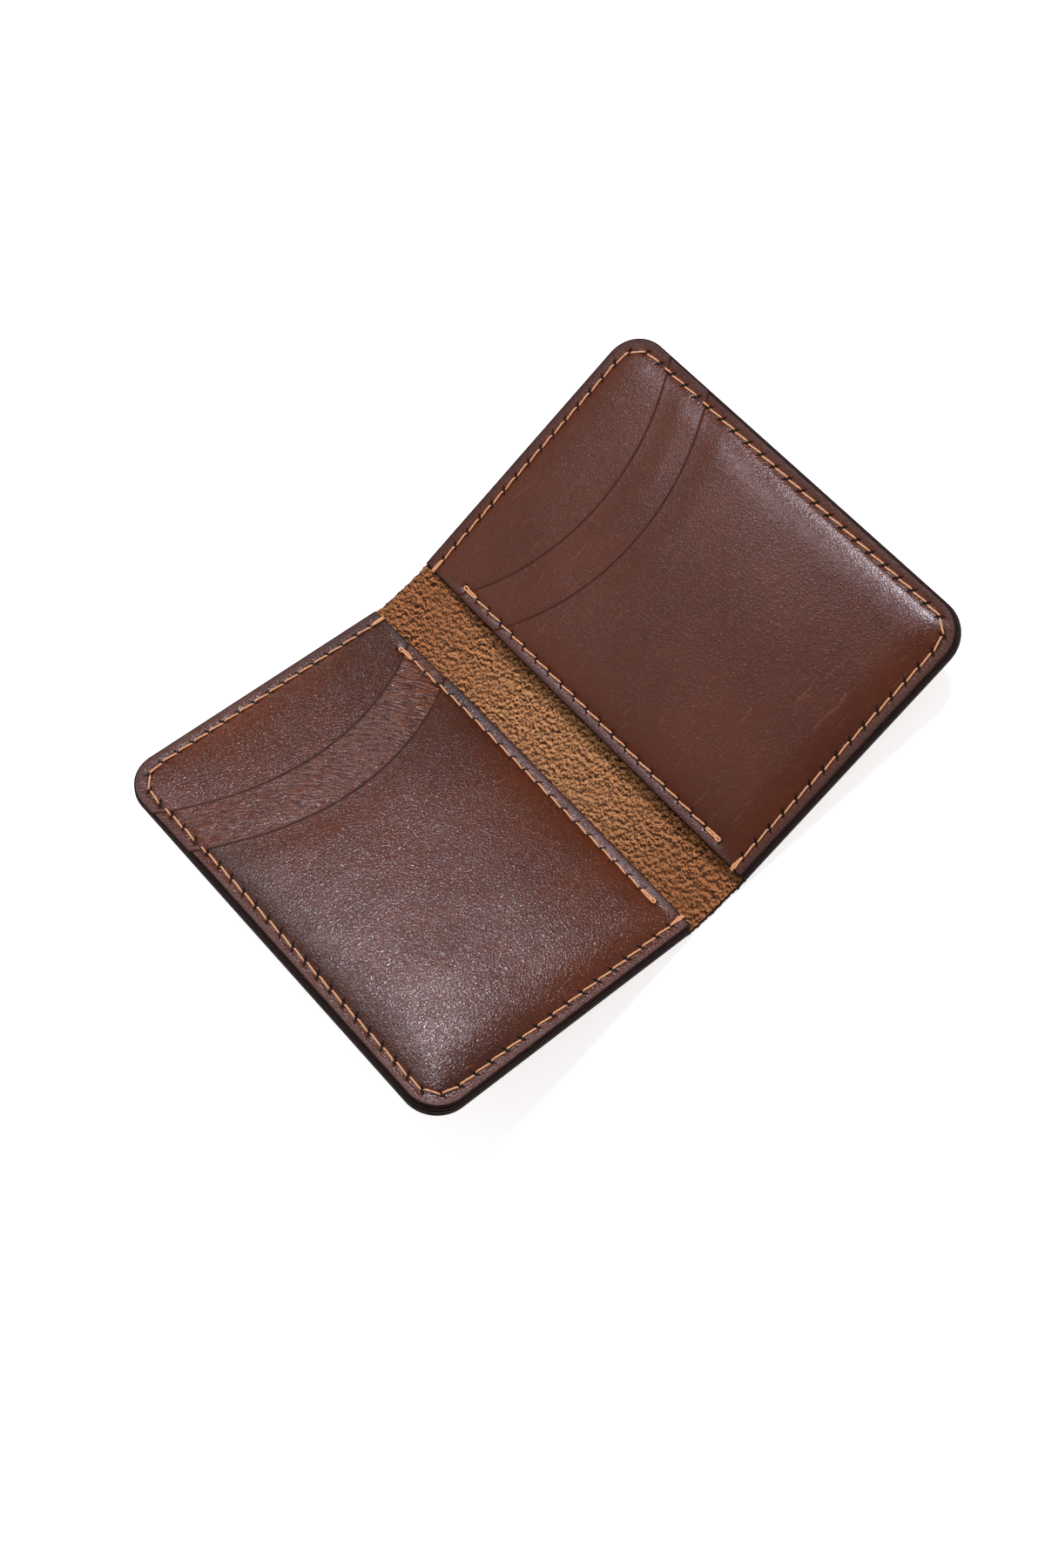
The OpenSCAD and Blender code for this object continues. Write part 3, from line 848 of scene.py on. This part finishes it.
def strand(path, radius=THREAD_R, phase=0.0):
    """A twisted three-ply strand along a path: its points and faces."""
    path = np.asarray(path, float)
    ahead = np.gradient(path, axis=0)
    ahead /= np.linalg.norm(ahead, axis=1)[:, None]
    side_way = np.cross(ahead, (0, 0, 1.0))
    weak = np.linalg.norm(side_way, axis=1) < 0.15
    keep = side_way[~weak].mean(axis=0)
    side_way[weak] = keep
    side_way /= np.linalg.norm(side_way, axis=1)[:, None]
    up = np.cross(side_way, ahead)
    up /= np.linalg.norm(up, axis=1)[:, None]
    run = np.concatenate([[0], np.cumsum(np.linalg.norm(np.diff(path, axis=0), axis=1))])
    angle = np.arange(PLY_SIDES) * 2 * math.pi / PLY_SIDES
    lobes = 1 + 0.16 * np.cos(3 * angle[None, :] - PLY_TWIST * run[:, None] + phase)
    r = radius * lobes
    points = (path[:, None, :] + (r * np.cos(angle))[:, :, None] * side_way[:, None, :]
              + (0.88 * r * np.sin(angle))[:, :, None] * up[:, None, :])
    rings = len(path)
    index = np.arange(rings * PLY_SIDES).reshape(rings, PLY_SIDES)
    nxt = np.roll(index, -1, axis=1)
    faces = np.stack([index[:-1], nxt[:-1], nxt[1:], index[1:]], axis=-1).reshape(-1, 4).tolist()
    faces.append(index[0, ::-1].tolist())
    faces.append(index[-1].tolist())
    return points.reshape(-1, 3), faces


# Half of a stitch, from its hole: parts of the way along it, and heights in millimetres.
RUN = np.array([0.075, 0.08, 0.09, 0.11, 0.14, 0.19, 0.25, 0.33, 0.42, 0.5])
RISE = np.array([-0.85, -0.5, -0.22, -0.02, 0.09, 0.13, 0.15, 0.155, 0.16, 0.16])
RUN = np.concatenate([RUN, 1 - RUN[-2::-1]])
RISE = np.concatenate([RISE, RISE[-2::-1]])


def stitch_path(p, q, surface, slant=0.13, shift=0.0, up=1.0):
    """One stitch from hole p to hole q over a surface height rule."""
    p, q = np.array(p), np.array(q)
    way = (q - p) / np.linalg.norm(q - p)
    aside = np.array([-way[1], way[0]])
    ground = p + RUN[:, None] * (q - p)
    lean = slant * np.sin((RUN - 0.5) * math.pi) + shift * np.sin(RUN * math.pi) ** 0.4
    high = surface(ground[:, 0], ground[:, 1])
    if up > 0:
        padded = np.pad(high, 2, mode="edge")
        high = np.max([padded[k:k + len(high)] for k in range(5)], axis=0)
    spot = ground + lean[:, None] * aside
    return np.column_stack([spot, high + up * RISE])


def seam_object(name, side, paths, radius=THREAD_R):
    """One object of many strands, with painted shade where each goes down into its holes."""
    points, faces, sunk = [], [], []
    base = 0
    for k, path in enumerate(paths):
        pts, fcs = strand(path, radius, phase=1.7 * k)
        points.append(pts)
        faces += [[i + base for i in f] for f in fcs]
        base += len(pts)
        low = np.repeat(path[:, 2], PLY_SIDES)
        best = path[:, 2].max() if path[len(path) // 2, 2] > path[0, 2] else path[:, 2].min()
        sunk.append(np.clip((np.abs(best - low) - 0.12) / 0.45, 0, 1))
    points = np.concatenate(points)
    if side == "left":
        faces = [f[::-1] for f in faces]
    obj = mesh_object(name, place(side, points), faces, (thread_top,))
    put_number(obj, "sunk", np.concatenate(sunk))
    return obj


def wrap_paths(side, y):
    """The doubled end of the edge seam, over the panel's spine edge and into the cover."""
    out = []
    first = EDGE_HOLES[1][0]
    z = float(shown_top(side, PANEL_U + 0.6, y))
    for aside in (-0.2, 0.2):
        spine = [(first, -0.8), (first - 0.05, -0.3), (first - 0.25, 0.03), (first - 0.8, 0.15),
                 ((first + PANEL_U) / 2, 0.17), (PANEL_U + 0.25, 0.2), (PANEL_U - 0.12, 0.02),
                 (PANEL_U - 0.34, -0.35)]
        path = [(u, y + aside * min(1, (first - u) / 1.2), z + w) for u, w in spine]
        path += [(PANEL_U - 0.48, y + aside, (z + COVER_T) / 2), (WRAP_U, y + aside, COVER_T + 0.1),
                 (WRAP_U, y + aside * 0.5, COVER_T - 0.6)]
        out.append(np.array(path))
    return out


def end_loop(side, u, y, half_u, half_y):
    """The end of a seam's thread, as a small flat loop round its last hole."""
    turn = np.linspace(0, 2 * math.pi, 17)
    us, ys = u + half_u * np.cos(turn), y + half_y * np.sin(turn)
    high = shown_top(side, us, ys).max()
    return np.column_stack([us, ys, np.full(len(turn), high + 0.08)])


def thread_bed(side):
    """Height rule for the threads on top."""
    def rule(u, y):
        return shown_top(side, u, y) - THREAD_SINK
    return rule


def under_cover(u, y):
    """Height rule for the threads in the outside of the cover."""
    return np.full(np.shape(u), UNDER_GROOVE)


def under_panel(side):
    """Height rule for the threads between the back panel and the cover."""
    def rule(u, y):
        return back_top(side, u, y) - LINER_T
    return rule


def edge_seam_top(side):
    surface = thread_bed(side)
    paths = [stitch_path(EDGE_HOLES[i], EDGE_HOLES[i + 1], surface) for i in range(1, EDGE_N - 1)]
    for y in (EDGE_Y, -EDGE_Y):
        paths += wrap_paths(side, y)
    paths.append(end_loop(side, PANEL_U + 1.0, -EDGE_Y, 0.62, 0.34))
    return seam_object(f"edge_seam_top_{side}", side, paths)


def edge_seam_under(side):
    paths = [stitch_path(EDGE_HOLES[i], EDGE_HOLES[i + 1], under_cover, up=-1.0) for i in range(EDGE_N)]
    return seam_object(f"edge_seam_under_{side}", side, paths)


def pocket_seam_top(side):
    surface = thread_bed(side)
    last = POCKET_N - 1
    paths = [stitch_path(POCKET_HOLES[i], POCKET_HOLES[i + 1], surface) for i in range(1, last)]
    for i in (0, last):
        for shift in (-0.24, 0.24):
            paths.append(stitch_path(POCKET_HOLES[i], POCKET_HOLES[i + 1], surface, 0.05, shift))
    for y in (POCKET_TOP - 0.3, POCKET_LOW + 0.3):
        paths.append(end_loop(side, POCKET_U, y, 0.36, 0.66))
    return seam_object(f"pocket_seam_top_{side}", side, paths)


def pocket_seam_under(side):
    surface = under_panel(side)
    paths = [stitch_path(POCKET_HOLES[i], POCKET_HOLES[i + 1], surface, up=-1.0) for i in range(POCKET_N)]
    return seam_object(f"pocket_seam_under_{side}", side, paths, radius=0.17)


# ---------------------------------------------------------------- the wallet
def dress(side):
    """Builds one half: ties each piece but the cover to its body, and hides the CAD nodes that they stand
    for.
    """
    body = side + "_half"
    ridden = (
        (back_panel(side), "panel_leather", "back_panel"),
        (rear_pocket(side), "pocket_leather", "rear_pocket"),
        (front_pocket(side), "pocket_leather", "front_pocket"),
        (edge_seam_top(side), "thread", "edge_seam_top_thread"),
        (edge_seam_under(side), "thread", "edge_seam_under_thread"),
        (pocket_seam_top(side), "thread", "pocket_seam_top_thread"),
        (pocket_seam_under(side), "thread", "pocket_seam_under_thread"),
    )
    for piece, slot, node in ridden:
        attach(piece, body)
        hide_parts(f"{side}_{node}")
    skin = cover(side)
    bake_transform(skin)
    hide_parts(f"{side}_cover")
    return skin


# ---------------------------------------------------------------- camera, light, floor
FLOOR_HALF = 3.0
FLOOR_DROP = 0.00008     # below the wallet, so that the two faces never flicker


def camera():
    """A camera above the near end of the spine, rolled so that the spine runs down to the right."""
    aim = Vector((-10.9, -2.9, 4.0)) * MM
    distance = 509.5 * MM
    heading, elevation, roll = math.radians(4.13), math.radians(69.1), math.radians(40.0)
    ahead = Vector((math.sin(heading) * math.cos(elevation), math.cos(heading) * math.cos(elevation),
                    -math.sin(elevation)))
    turn = ahead.to_track_quat("-Z", "Y").to_matrix().to_4x4() @ Matrix.Rotation(-roll, 4, "Z")
    data = bpy.data.cameras.new("camera")
    data.sensor_width = 36
    data.lens = 56
    data.clip_start, data.clip_end = 0.01, 20
    obj = bpy.data.objects.new("camera", data)
    obj.matrix_world = Matrix.Translation(aim - ahead * distance) @ turn
    bpy.context.scene.collection.objects.link(obj)
    bpy.context.scene.camera = obj


def softbox(name, direction, distance, size, radiance, color=(1, 1, 1)):
    """A square light that faces the wallet. Its brightness is given per square metre of light."""
    data = bpy.data.lights.new(name, "AREA")
    data.shape = "RECTANGLE"
    data.size, data.size_y = size
    data.energy = radiance * math.pi * size[0] * size[1]
    data.color = color
    obj = bpy.data.objects.new(name, data)
    way = Vector(direction).normalized()
    obj.matrix_world = (Matrix.Translation(way * distance) @ way.to_track_quat("Z", "Y").to_matrix().to_4x4())
    bpy.context.scene.collection.objects.link(obj)


def studio():
    """A soft white surround, three square lights and a white floor."""
    world = bpy.data.worlds.new("studio")
    world.use_nodes = True
    world.node_tree.nodes["Background"].inputs["Color"].default_value = (1, 1, 1, 1)
    world.node_tree.nodes["Background"].inputs["Strength"].default_value = 0.32
    bpy.context.scene.world = world
    bpy.context.scene.view_settings.view_transform = "Standard"
    softbox("key", (0.455, 0.18, 0.87), 1.0, (0.165, 0.165), 76.0, (0.91, 0.885, 1.0))
    softbox("top", (0.09, 0.40, 0.91), 1.0, (0.17, 0.17), 17.0, (0.90, 0.87, 1.0))
    softbox("back", (-0.25, 0.55, 0.83), 1.1, (0.95, 0.95), 0.45)
    corners = [(x * FLOOR_HALF, y * FLOOR_HALF, -FLOOR_DROP) for x, y in ((-1, -1), (1, -1), (1, 1), (-1, 1))]
    floor = mesh_object("floor", np.array(corners), [(0, 1, 2, 3)], (floor_paint(),))


def floor_paint():
    """Bright white, so that it loses nearly all of the wallet's shadow."""
    sh = Shader("floor_paint")
    weave = sh.noise(sh.node("TexCoord").outputs["Object"], 40.0)
    return sh.finish((0.97, 0.97, 0.97, 1), 0.8, sh.bump(weave, 0.01), Emission_Color=(1, 1, 1, 1),
                     Emission_Strength=0.7)


camera()
studio()
skins = {side: dress(side) for side in SIDES}
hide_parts("spine_cover")
